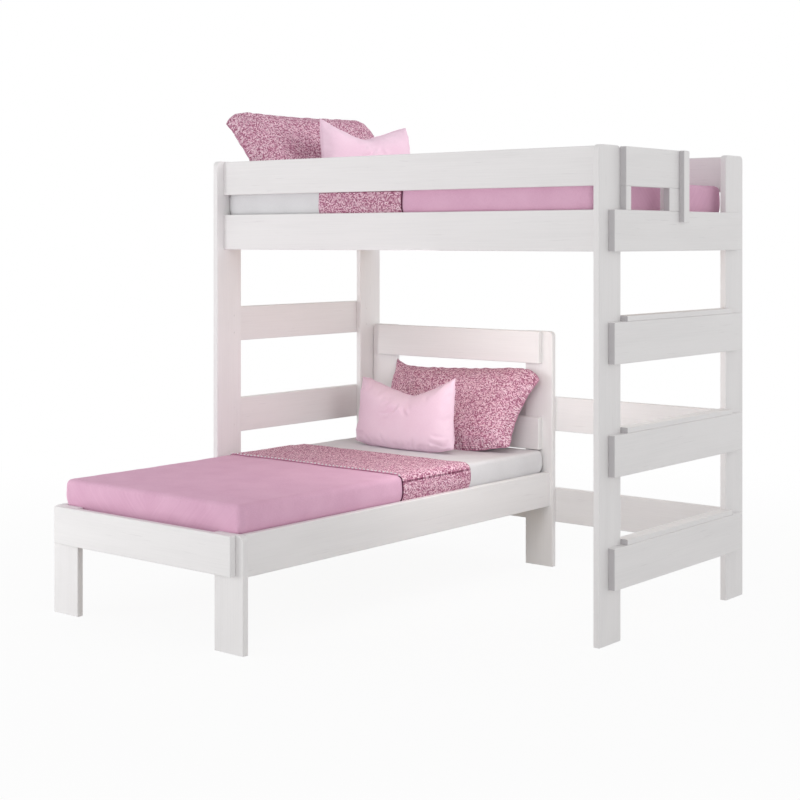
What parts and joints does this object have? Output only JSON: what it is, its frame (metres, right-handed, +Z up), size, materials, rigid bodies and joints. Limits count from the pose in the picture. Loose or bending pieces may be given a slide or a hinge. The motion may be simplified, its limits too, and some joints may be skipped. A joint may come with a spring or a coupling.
{
  "type": "l shaped bunk bed",
  "caption": "L shaped bunk bed: a loft frame with a stepped ladder end over a low bed set crosswise beneath it, both with mattress, blanket, throw and pillows.",
  "frame": {"origin": "middle of the footprint of both beds together, on the floor", "axes": "+X along the loft towards its ladder end, +Y towards the loft's back and the lower bed's head, +Z up"},
  "size_m": [2.094, 2.046, 2.0393],
  "materials": {
    "painted_wood": "white paint, brushed along the board, satin",
    "plain_timber": "plain sanded softwood",
    "steel": "zinc plated",
    "sheet": "white cotton sheet over a mattress",
    "blanket": "light pink brushed cotton",
    "throw": "dark pink coarse weave with light and dark flecks",
    "small_pillow": "blush pink smooth cotton"
  },
  "bodies": {
    "root": {"post_front_ladder": "painted_wood", "post_rear_ladder": "painted_wood", "post_front_left": "painted_wood", "post_rear_left": "painted_wood", "side_rail_front": "painted_wood", "side_rail_rear": "painted_wood", "guard_rail_front": "painted_wood", "guard_rail_rear": "painted_wood", "stretcher_lower": "painted_wood", "stretcher_upper": "painted_wood", "end_rail_ladder": "painted_wood", "end_rail_left": "painted_wood", "end_guard_left": "painted_wood", "ladder_rung_1": "painted_wood", "ladder_rung_2": "painted_wood", "ladder_rung_3": "painted_wood", "step_1": "painted_wood", "step_2": "painted_wood", "step_3": "painted_wood", "left_rung_1": "painted_wood", "left_rung_2": "painted_wood", "left_rung_3": "painted_wood", "entry_guard": "painted_wood", "entry_block_front": "painted_wood", "entry_block_rear": "painted_wood", "entry_batten": "painted_wood", "entry_cleats": "plain_timber", "loft_cleats": "plain_timber", "loft_slats": "plain_timber", "loft_dowels": "plain_timber", "loft_brackets": "steel", "loft_screws": "steel", "foot_leg_left": "painted_wood", "foot_leg_right": "painted_wood", "foot_board": "painted_wood", "head_post_left": "painted_wood", "head_post_right": "painted_wood", "head_board_top": "painted_wood", "head_board_low": "painted_wood", "bed_rail_left": "painted_wood", "bed_rail_right": "painted_wood", "bed_cleats": "plain_timber", "bed_slats": "plain_timber", "bed_brackets": "steel", "bed_screws": "steel", "loft_mattress": "sheet", "loft_blanket": "blanket", "loft_throw": "throw", "loft_pillow_large": "throw", "loft_pillow_small": "small_pillow", "bed_mattress": "sheet", "bed_blanket": "blanket", "bed_throw": "throw", "bed_pillow_large": "throw", "bed_pillow_small": "small_pillow"}
  },
  "joints": []
}
